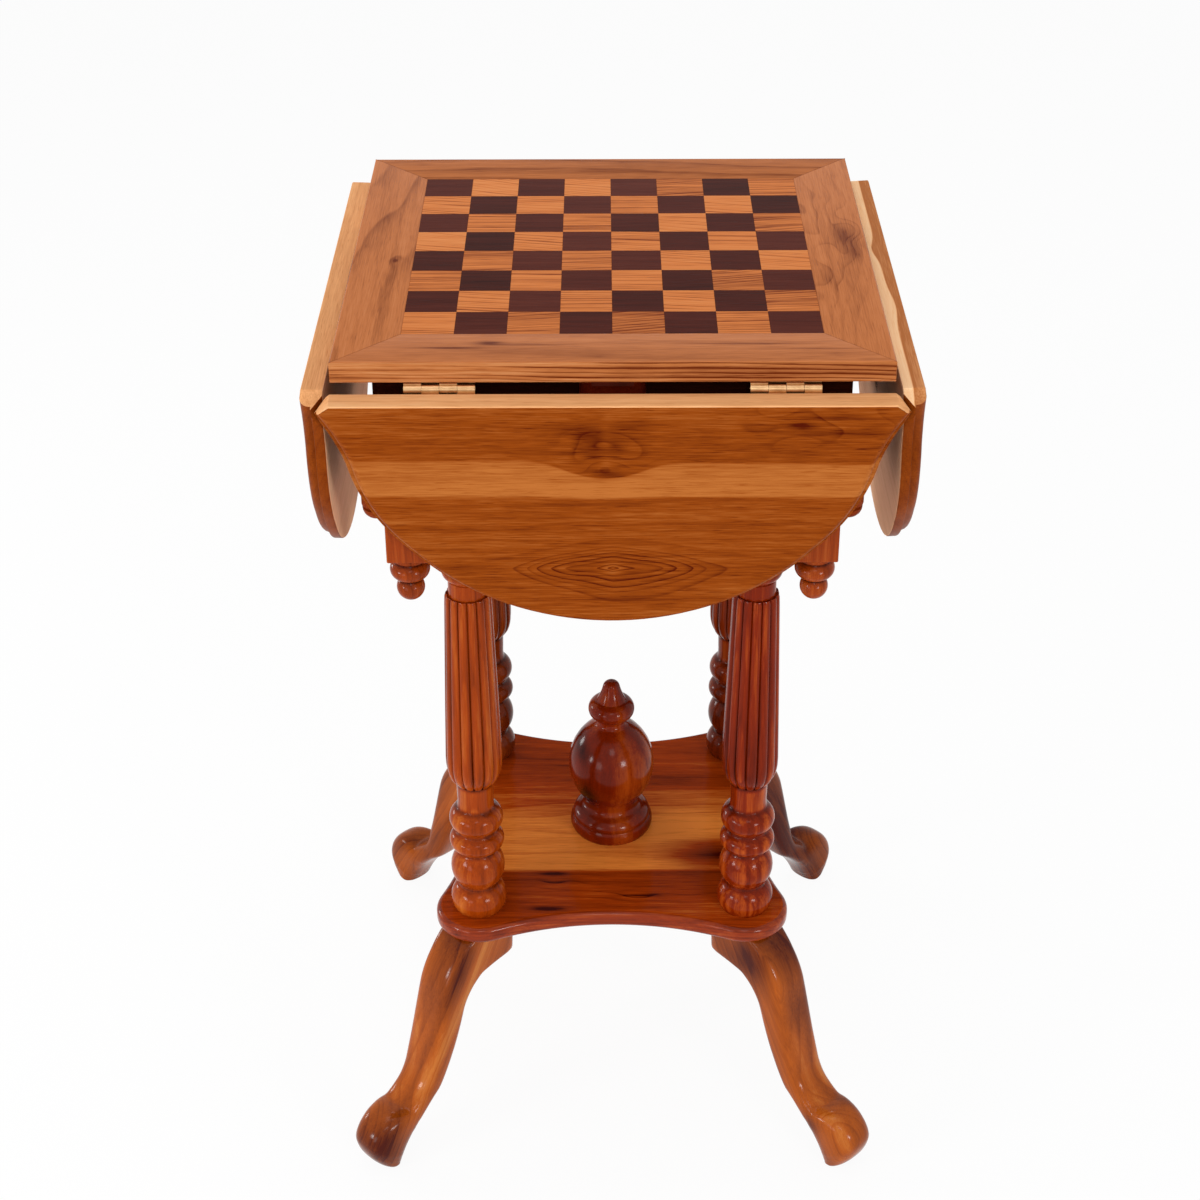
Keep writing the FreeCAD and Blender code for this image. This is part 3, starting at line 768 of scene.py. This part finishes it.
pendant_finish = teak(
    "pendant_lacquer", upward, (1, 0.2, 0), (0.02, 0, 0.6), ((56, 8, 1), (140, 54, 9), (190, 102, 42)),
    spacing=0.005, slopes=(0.03, 0.9, 0.4), wander=0.015, lines=0.14, streaks=0.7,
    patches=((-0.0328, 0.0, 0.0014, 1.0, -0.5), (-0.0168, 0.0, 0.0012, 1.0, -0.4)), fibres=0.3,
    roughness=0.15, specular=0.10, relief=0.01)
pendant_mesh = joined("pendant", [
    planed("pendant_block", box_outline(-pendant_half, pendant_half, -pendant_half, pendant_half),
           pendant_block_bottom, pendant_block_top, pendant_arris, 3),
    lathe("pendant_drop", pendant_profile, pendant_bottom),
])
pendant_mesh.transform(Matrix.Translation((pendant_centre, -pendant_centre, 0)))
for corner, turn in corner_turns.items():
    piece("pendant_" + corner, moved(pendant_mesh, spun(turn)), "table", "teak", pendant_finish)

# Frame board
# The teak board that the columns carry, with rounded corners and a groove and bead run along its lower edge.
frame_low, frame_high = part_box("underframe_board")
frame_corner = 0.012
frame_corner_steps = 8
frame_levels = (
    # inset, height above the board's underside
    (0.0095, 0.0000), (0.0085, 0.0000), (0.0060, 0.0003), (0.0038, 0.0014), (0.0020, 0.0033), (0.0009, 0.0058),
    (0.0006, 0.0080), (0.0016, 0.0084), (0.0022, 0.0092), (0.0016, 0.0100), (0.0002, 0.0104), (0.0000, 0.0112),
    (0.0000, 0.0188), (0.0004, 0.0196), (0.0012, 0.0200), (0.0020, 0.0200),
)


def rounded_square(half, radius):
    inner = half - radius
    corner = arc(Vector((inner, -inner)), radius, -math.pi / 2, 0, frame_corner_steps) + [Vector((half, -inner))]
    return [turn @ point for turn in quarter_turns for point in corner]


frame_mesh = skin("underframe_board", inset_rings(
    rounded_square(frame_high.x, frame_corner), [(inset, frame_low.z + up) for inset, up in frame_levels]), 35)
piece("underframe_board", frame_mesh, "table", "teak", teak(
    "frame_lacquer", rightward, backward, upward * frame_low.z, ((60, 10, 1), (122, 44, 8), (168, 84, 34)),
    spacing=0.005, lines=0.08, roughness=0.28))

# Frieze rails
# Four mitred teak rails behind the leaves, glued and screwed down to the frame board and up to the top.
side_turns = {"front": 0, "right": 90, "back": 180, "left": 270}
frieze_half = 0.173
frieze_thickness = 0.018
frieze_low, frieze_high = [corner.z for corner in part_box("frieze_front")]
rail_gap = 0.0001
rail_arris = 0.0004


def mitred_outline(half, width):
    return ((-half, -half), (half, -half), (half - width, width - half), (width - half, width - half))


frieze_mesh = planed("frieze", mitred_outline(frieze_half, frieze_thickness), frieze_low + rail_gap,
                     frieze_high - rail_gap, rail_arris)
# The rails' very dark tones are partly their own dark teak and partly painted shade, for the deep shade behind the
# leaves.
frieze_shaded_tones = ((20, 6, 2), (56, 21, 9), (90, 42, 20))
for side, turn in side_turns.items():
    piece("frieze_" + side, moved(frieze_mesh, spun(turn)), "table", "teak", teak(
        "frieze_lacquer_" + side, spun(turn) @ rightward, upward, upward * frieze_low, frieze_shaded_tones, roughness=0.4))

# Hidden joinery
# Glue blocks and dowels of plain bare wood, and long steel screws, that hold frame, top and legs together.
bare_tones = ((150, 104, 70), (186, 140, 100), (208, 168, 128))
bare_wood = teak("bare_wood", rightward, backward, (0, 0, 0.7), bare_tones, roughness=0.6)
dowel_wood = teak("dowel_wood", upward, rightward, (0, 0, 0.2), bare_tones, roughness=0.6)
stain_waves = (160, 160, 160)


def metal(name, colours, roughness, brushing):
    """Metal with fine brushing and a little tarnish."""
    material, coordinates = new_finish(name)
    scratches = coordinates.cloud(brushing, 3)
    stain = coordinates.cloud(stain_waves, 3)
    colour = (scratches * 0.35 + stain * 0.65).toned([(0.3, linear(colours[0])), (0.7, linear(colours[1]))])
    surfaced(colour, scratches, 0.15, 0.0001, {"Metallic": 1.0, "Roughness": roughness + (stain - 0.5) * 0.2})
    return material


def dress(node, material):
    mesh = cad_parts[node].data
    mesh.materials.clear()
    mesh.materials.append(material)


screw_steel = metal("screw_steel", ((128, 128, 130), (176, 176, 178)), 0.35, (900, 900, 900))
dress("corner_blocks", bare_wood)
dress("leg_dowels", dowel_wood)
dress("frame_screws", screw_steel)
dress("corner_block_screws", screw_steel)

# Playing board
# A core board with 64 thin wooden squares glued on in turns of striped teak and very dark wood, sanded flush.
dress("board_core", bare_wood)
square_side = 0.0381
squares_per_side = 8
board_half = square_side * squares_per_side / 2
square_bottom, top_surface = [corner.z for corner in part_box("light_squares")]
square_arris = 0.00012
tile_corner = (-board_half, -board_half, square_bottom - 0.001)


def planting_tree():
    tree, (places, pattern, finish) = open_tree("planted_copies", {
        "Places": "Geometry", "Pattern": "Object", "Finish": "Material"})
    shape = places.node("GeometryNodeObjectInfo", {}, {"Object": pattern}, "Geometry")
    close_tree(places.node("GeometryNodeInstanceOnPoints", {}, {"Points": places, "Instance": shape}), finish)
    return tree


planting = planting_tree()


def planted(name, pattern_mesh, places, finish):
    """Copies of one pattern at each of the places, as one plain mesh."""
    pattern = placed(name + "_pattern", pattern_mesh)
    start = bpy.data.meshes.new(name + "_places")
    start.from_pydata(places, [], [])
    mesh = grown(name, start, planting, {"Pattern": pattern, "Finish": finish})
    bpy.data.objects.remove(pattern)
    return mesh


square_pattern = planed(
    "square", box_outline(-square_side / 2, square_side / 2, -square_side / 2, square_side / 2),
    square_bottom, top_surface, square_arris, 1)
inlays = {
    # which squares, record's slot, finish
    "light_squares": (0, "light_inlay", dict(
        name="striped_inlay", tones=((112, 42, 12), (210, 122, 62), (226, 148, 88)), spacing=0.0046,
        slopes=(0.04, 1.0, 0.2), wander=0.018, lines=0.55, streaks=0.7)),
    "dark_squares": (1, "dark_inlay", dict(
        name="dark_inlay", tones=((26, 4, 2), (76, 26, 15), (102, 46, 32)), spacing=0.003,
        slopes=(0.02, 1.0, 0.2), wander=0.004, lines=0.1, streaks=0.5)),
}
for node, (parity, slot, figure) in inlays.items():
    finish = teak(along=rightward, across=backward, centre=tile_corner, clouds=0.3, tile=square_side,
                  roughness=0.24, specular=0.015, **figure)
    places = [((file + 0.5) * square_side - board_half, (row + 0.5) * square_side - board_half, 0)
              for row in range(squares_per_side) for file in range(squares_per_side)
              if (row + file) % 2 == parity]
    piece(node, planted(node, square_pattern, places, finish), "table", slot)

# Border
# Four mitred teak boards round the playing board, tongued to its core, lacquered with an open satin grain.
# The right one holds a burl, the front one a dark streak and knot, the left one long flowing lines.
border_width = 0.0476
top_half = board_half + border_width
top_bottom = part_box("border_front")[0].z
border_arris = 0.0004
edge_round = 0.0016
square_facing = 0.8


def border_mesh():
    shell = sawn(mitred_outline(top_half, border_width), top_bottom, top_surface)
    weights = shell.edges.layers.float.new("bevel_weight_edge")
    for edge in shell.edges:
        outer = all(vert.co.y < border_width / 2 - top_half for vert in edge.verts)
        level = abs(edge.verts[0].co.z - edge.verts[1].co.z) < border_arris
        edge[weights] = 1.0 if outer and level else border_arris / edge_round / 2
    base = placed("border", filled(bpy.data.meshes.new("border"), shell, 35))
    bevel = base.modifiers.new("arris", "BEVEL")
    bevel.limit_method = "WEIGHT"
    bevel.width = edge_round
    bevel.segments = 4
    return smoothed(made_plain(base), 35)


border_tones = ((104, 42, 14), (190, 113, 64), (214, 142, 92))
border_edge_tones = ((96, 34, 8), (174, 104, 56), (208, 150, 100))
border_figures = {
    "front": dict(
        spacing=0.011, slopes=(0.01, 0.5, 0.9), wander=0.016,
        patches=((-0.088, -0.168, 0.010, 0.003, -0.55), (-0.118, -0.176, 0.025, 0.0016, -0.4),
                 (-0.06, -0.171, 0.03, 0.0012, -0.3), (0.10, -0.170, 0.045, 0.0014, -0.35),
                 (0.145, -0.178, 0.03, 0.0014, -0.3), (0.0, -0.19, 0.2, 0.012, -0.10)),
        burls=((-0.088, -0.168, 0.02, 0.008, 0.02, 0.3),)),
    "right": dict(
        spacing=0.006, slopes=(0.02, 0.5, 0.9), wander=0.022,
        burls=((0.031, -0.181, 0.040, 0.018, 0.05, 0.25), (-0.055, -0.164, 0.04, 0.014, 0.03, 0.22),
               (0.09, -0.165, 0.05, 0.014, 0.03, 0.18)),
        patches=((0.031, -0.183, 0.020, 0.009, -0.40), (0.0, -0.188, 0.02, 0.006, -0.3),
                 (-0.05, -0.163, 0.020, 0.006, -0.22))),
    "back": dict(
        spacing=0.010, slopes=(0.01, 0.5, 0.9), wander=0.014, lines=0.3,
        patches=((0.0, -0.176, 0.3, 0.1, -0.12),)),
    "left": dict(
        spacing=0.016, slopes=(0.05, 0.6, 0.9), wander=0.03, lines=0.35,
        eyes=((0.0186, -0.1665, 0.010, 0.005, 0.008, 0.1),), patches=((0.0186, -0.1665, 0.0035, 0.002, -0.6),)),
}
border_shape = border_mesh()
for side, turn in side_turns.items():
    spin = spun(turn)
    mesh = moved(border_shape, spin)
    mesh.materials.clear()
    for face in mesh.polygons:
        if (spin.inverted() @ face.normal).y < -square_facing:
            face.material_index = 1
    piece("border_" + side, mesh, "table", "teak", teak(
        "border_lacquer_" + side, spin @ rightward, spin @ backward, upward * top_bottom, border_tones,
        roughness=0.24, seams=board_half, **border_figures[side]), teak(
        "border_edge_" + side, spin @ rightward, upward, upward * top_bottom, border_edge_tones, spacing=0.0036,
        slopes=(0.012, 1.0, 0.2), wander=0.018, lines=0.9, streaks=1.0, clouds=0.6, roughness=0.36,
        patches=((-0.13, 0.008, 0.06, 0.02, 0.16), (0.06, 0.011, 0.09, 0.0016, -0.30)),
        band=(0.0, 0.016, ((0.0, 0.50), (0.16, 0.62), (0.24, 0.40), (0.6, 0.46), (0.85, 0.56), (1.0, 0.6)))))

# Leaf supports
# Flat brown-lacquered steel slides that run in reddish wooden guides under the top and carry a raised leaf.
guide_tones = ((60, 10, 2), (112, 30, 8), (148, 62, 22))
slide_tones = ((40, 8, 3), (70, 18, 7))
speckle_waves = (900, 900, 900)
wear_waves = (60, 60, 60)
slide_finish, coordinates = new_finish("brown_lacquered_steel")
speckle = coordinates.cloud(speckle_waves, 3)
wear = coordinates.cloud(wear_waves, 4)
slide_colour = (speckle * 0.4 + wear * 0.6).toned([(0.3, linear(slide_tones[0])), (0.7, linear(slide_tones[1]))])
surfaced(slide_colour, speckle, 0.2, 0.0001, {
    "Roughness": 0.5 + (wear - 0.5) * 0.2, "Specular IOR Level": 0.05})
for side, turn in side_turns.items():
    dress("slide_guide_" + side, teak("guide_lacquer_" + side, spun(turn) @ -backward, upward, upward * top_bottom,
                                      guide_tones, roughness=0.4))
    dress("slide_" + side, slide_finish)

# Hinges
# Two polished brass butt hinges to a leaf: plates on the undersides, rolled knuckles and a pin, slotted screws.
brass = metal("hinge_brass", ((176, 134, 92), (212, 172, 128)), 0.34, (60, 1400, 1400))
for node in ["top_hinge_plates", "top_hinge_screws", "hinge_pins"]:
    dress(node, brass)
for side in side_turns:
    dress("leaf_" + side + "_hinge_plates", brass)
    dress("leaf_" + side + "_hinge_screws", brass)

# Leaves
# Four half-moon drop leaves of wide figured teak boards, with a stepped ovolo run round the curved edge.
# The hinge edge and mitred corners are planed square and pale, and the inner face is bare and paler still, its
# colour partly painted light.
leaf_inner = 0.2052
leaf_top = 0.7488
leaf_tip = 0.212
corner_drop = 0.012
corner_clearance = 0.0024
tip_draw = 0.735
edge_draw = 0.4
pale_depth = 0.014
pale_facing = 0.5
hinge_line = Vector((0, -0.201, 0.7498))
side_leans = {"front": 9.0, "right": -3.4, "back": 0.0, "left": -1.8}
leaf_outline_points = (
    # along the hinge, down from the hinge edge, bulge of the arc to the next point
    (-0.200, 0.000, 0.0),
    (0.200, 0.000, 0.0),
    (leaf_tip, corner_drop, -0.035),
    (0.192, 0.056, 0.075),
    (0.150, 0.136, 0.2333),
    (-0.150, 0.136, 0.075),
    (-0.192, 0.056, -0.035),
    (-leaf_tip, corner_drop, 0.0),
    (-0.200, 0.000, 0.0),
)
mould_levels = (
    # distance from the inner face, inset of the curved edge, inset of the straight edges
    (0.0000, 0.0020, 0.0016), (0.0000, 0.0012, 0.0008), (0.0003, 0.0004, 0.0002), (0.0010, 0.0000, 0.0000),
    (0.0068, 0.0000, 0.0000), (0.0076, 0.0004, 0.0000), (0.0080, 0.0014, 0.0000), (0.0081, 0.0036, 0.0000),
    (0.0084, 0.0040, 0.0000), (0.0092, 0.0041, 0.0000), (0.0110, 0.0043, 0.0000), (0.0130, 0.0050, 0.0000),
    (0.0145, 0.0062, 0.0000), (0.0154, 0.0076, 0.0002), (0.0159, 0.0090, 0.0010), (0.0160, 0.0100, 0.0020),
    (0.0160, 0.0108, 0.0028),
)


def leaf_mesh():
    path = traced(leaf_outline_points, fine_turn)[:-1]
    ways = inward_ways(path)
    straight = [point.y < weld_distance for point in path]
    tips = [abs(point.y - corner_drop) < weld_distance for point in path]
    for number, point in enumerate(path):
        if tips[number]:
            ways[number] = Vector((-math.copysign(tip_draw, point.x), -tip_draw))
        elif straight[number]:
            ways[number] = Vector((-math.copysign(edge_draw, point.x), 1))
    rings = []
    for off, curved_inset, straight_inset in mould_levels:
        reach = leaf_inner + off
        limit = reach - corner_clearance
        ring = []
        for point, way, is_straight, is_tip in zip(path, ways, straight, tips):
            spot = point + way * (straight_inset if is_straight else curved_inset)
            along = max(-limit, min(limit, spot.x))
            down = spot.y - abs(spot.x - along) if is_tip else spot.y
            ring.append(Vector((along, -reach, leaf_top - down)))
        rings.append(ring)
    mesh = skin("leaf", rings, 32)
    for face in mesh.polygons:
        if face.normal.y > square_facing:
            face.material_index = 2
        elif face.normal.z > pale_facing and face.center.z > leaf_top - pale_depth:
            face.material_index = 1
    return mesh


leaf_tones = ((78, 18, 1), (136, 62, 10), (172, 100, 44))
edge_tones = ((176, 106, 56), (231, 168, 113), (246, 204, 158))
# The inner face's very pale tones are partly bare wood and partly painted light, for bounce light in the shade
# behind the leaf.
inner_bare_and_lit_tones = ((212, 154, 114), (246, 192, 150), (252, 210, 174))
leaf_figures = {
    # the front one has a pale band that dips under a knot, and a lozenge of rings near its foot
    "front": dict(
        spacing=0.0036, slopes=(0.0, 0.05, 0.9), wander=0.008, lines=0.06, streaks=0.65, fineness=1.7, fibres=0.8,
        band=(0.0, 0.206, ((0.0, 0.50), (0.225, 0.47), (0.235, 0.84), (0.38, 0.92), (0.39, 0.50), (0.50, 0.52),
                           (0.53, 0.42), (0.60, 0.54), (1.0, 0.52))),
        bends=((-0.006, 0.048, 0.028, 0.020, -0.027), (0.16, 0.05, 0.13, 0.03, -0.004)),
        eyes=((0.0, 0.147, 0.050, 0.015, 0.030, 0.85),),
        burls=((-0.004, 0.026, 0.036, 0.018, 0.03, 0.40), (0.140, 0.016, 0.06, 0.016, 0.03, 0.60),
               (0.0, 0.147, 0.044, 0.014, 0.014, 0.0)),
        patches=((0.0, 0.147, 0.05, 0.014, -0.10), (0.0, 0.148, 0.008, 0.007, 0.26),
                 (-0.005, 0.040, 0.011, 0.008, -0.40), (-0.022, 0.018, 0.024, 0.005, -0.22),
                 (0.018, 0.014, 0.018, 0.004, -0.20), (-0.005, 0.022, 0.005, 0.010, 0.16),
                 (0.134, 0.016, 0.010, 0.003, -0.5), (0.150, 0.010, 0.03, 0.002, -0.3),
                 (0.165, 0.022, 0.03, 0.002, -0.3))),
    "right": dict(spacing=0.006, slopes=(0.0, 0.4, 0.9), wander=0.016, patches=((0.0, 0.1, 1.0, 1.0, -0.12),)),
    "back": dict(spacing=0.006, slopes=(0.0, 0.35, 0.9), wander=0.018,
                 eyes=((0.03, 0.1, 0.06, 0.016, 0.03, 0.7),)),
    "left": dict(spacing=0.007, slopes=(0.0, 0.4, 0.9), wander=0.014, patches=((0.0, 0.1, 1.0, 1.0, -0.12),)),
}
edge_figures = {
    "front": dict(lines=0.12),
    "right": dict(band=(0.0, 0.016, ((0.0, 0.92), (0.42, 0.92), (0.48, 0.05), (1.0, 0.10))), wander=0.03,
                  bends=((0.05, 0.008, 0.02, 0.02, 0.004), (-0.06, 0.008, 0.03, 0.02, -0.003))),
    "back": dict(),
    "left": dict(patches=((0.0, 0.008, 1.0, 1.0, -0.08),), lines=0.08),
}
leaf_shape = leaf_mesh()
leans = {}
for side, turn in side_turns.items():
    lean = Matrix.Rotation(math.radians(side_leans[side]), 4, "X")
    leans[side] = spun(turn) @ Matrix.Translation(hinge_line) @ lean @ Matrix.Translation(-hinge_line)
    along, out, down = [leans[side].to_3x3() @ way for way in (rightward, -backward, -upward)]
    edge_middle = leans[side] @ Vector((0, -leaf_inner, leaf_top))
    piece(
        "leaf_" + side, moved(leaf_shape, leans[side]), side + "_leaf", "teak",
        teak("leaf_face_" + side, along, down, edge_middle, leaf_tones, roughness=0.34, **leaf_figures[side]),
        teak("leaf_hinge_edge_" + side, along, out, edge_middle, edge_tones, roughness=0.45, **edge_figures[side]),
        teak("leaf_inner_face_" + side, along, down, edge_middle, inner_bare_and_lit_tones, roughness=0.6, spacing=0.008))

# Felt pads
# Wool felt let into the inner face of each leaf, where the end of its slide bears; its near-black colour is painted
# shade, standing in for the shade of a recess there.
pad_half_width = 0.027
pad_thickness = 0.002
pad_bottom = 0.6578
pad_top = 0.6978
pad_arris = 0.0006
# The felt's near-black colour is painted shade where the slide's end bears.
pad_shade_tones = ((28, 14, 12), (62, 36, 30))
wool_waves = (1500, 1500, 1500)
pad_shade_finish, coordinates = new_finish("pad_felt_painted_shade")
wool = coordinates.cloud(wool_waves, 4, 1.2)
pad_shade_colour = wool.toned([(0.3, linear(pad_shade_tones[0])), (0.75, linear(pad_shade_tones[1]))])
surfaced(pad_shade_colour, wool, 0.7, 0.0004, {"Roughness": 0.95, "Specular IOR Level": 0.1})
pad_shape = planed("pad", box_outline(-pad_half_width, pad_half_width, -leaf_inner - pad_thickness, -leaf_inner),
                   pad_bottom, pad_top, pad_arris, 3)
for side in side_turns:
    pad = piece("leaf_" + side + "_pad", moved(pad_shape, leans[side]), side + "_leaf", "felt", pad_shade_finish)

# Studio
# A pale floor that keeps the soft shadow, a white backdrop, lamps round the table and the photograph's camera.
# The side lamps are small and no higher than the top, so that the lacquer shines but the top shows no glare.
floor_half = 4.0
floor_grey = 0.86
floor_whiteness = 0.93
room_light = 0.60
floor_mesh = bpy.data.meshes.new("floor")
floor_mesh.from_pydata(
    [(*point, 0) for point in box_outline(-floor_half, floor_half, -floor_half, floor_half)], [], [(0, 1, 2, 3)])
placed("floor", floor_mesh)


def seen_directly(tree):
    rays = tree.nodes.new("ShaderNodeLightPath").outputs
    seen = Strand(rays["Is Camera Ray"]) + Strand(rays["Is Glossy Ray"]) + Strand(rays["Is Transmission Ray"])
    return seen.math("MINIMUM", 1.0)


floor_paint = bpy.data.materials.new("floor_paint")
seen = seen_directly(bare_tree(floor_paint))
matt = seen.node("ShaderNodeBsdfDiffuse", {}, {"Color": grey(floor_grey)})
glow = seen.node("ShaderNodeEmission", {}, {"Color": grey(1.0), "Strength": 1.0})
floor_shader = seen.node("ShaderNodeMixShader", {}, {"Fac": seen * floor_whiteness, 1: matt, 2: glow})
floor_shader.node("ShaderNodeOutputMaterial", {}, {"Surface": floor_shader})
floor_mesh.materials.append(floor_paint)

world = bpy.data.worlds.new("studio")
bpy.context.scene.world = world
seen = seen_directly(bare_tree(world))
room = seen.node("ShaderNodeBackground", {}, {"Color": grey(1.0), "Strength": room_light})
backdrop = seen.node("ShaderNodeBackground", {}, {"Color": grey(1.0), "Strength": 1.0})
sky = seen.node("ShaderNodeMixShader", {}, {"Fac": seen, 1: room, 2: backdrop})
sky.node("ShaderNodeOutputWorld", {}, {"Surface": sky})

lamps = {
    # place, width, height, power
    "left_lamp": ((-1.65, -1.15, 0.62), 0.45, 0.30, 12.5),
    "right_lamp": ((1.14, -1.78, 0.62), 0.45, 0.30, 13.3),
    "front_lamp": ((0.1, -2.3, 2.0), 0.60, 0.60, 5.5),
    "top_lamp": ((-0.2, 0.0, 2.9), 1.4, 1.4, 13.5),
    "low_left_lamp": ((-1.1, -1.7, 0.45), 0.5, 0.5, 3.5),
    "back_left_lamp": ((-1.90, 0.92, 0.60), 0.40, 0.34, 7.0),
    "back_lamp": ((0.0, 1.25, 2.2), 0.50, 0.30, 5.0),
}
lamp_target = Vector((0, 0, 0.5))
for name, (place, width, height, power) in lamps.items():
    light = bpy.data.lights.new(name, "AREA")
    light.shape = "RECTANGLE"
    light.size = width
    light.size_y = height
    light.energy = power
    lamp = placed(name, light)
    lamp.location = place
    lamp.rotation_euler = (lamp_target - Vector(place)).to_track_quat("-Z", "Y").to_euler()

camera_place = Vector((-0.0079, -1.6499, 1.4634))
camera_pitch, camera_yaw, camera_roll = -31.52, 0.061, -0.169
camera_data = bpy.data.cameras.new("camera")
camera_data.lens = 68.31
camera_data.sensor_width = 36.0
camera = placed("camera", camera_data)
camera.matrix_world = (
    Matrix.Translation(camera_place)
    @ spun(camera_yaw)
    @ Matrix.Rotation(math.radians(90 + camera_pitch), 4, "X")
    @ spun(camera_roll)
)
bpy.context.scene.camera = camera
bpy.context.scene.view_settings.view_transform = "Standard"
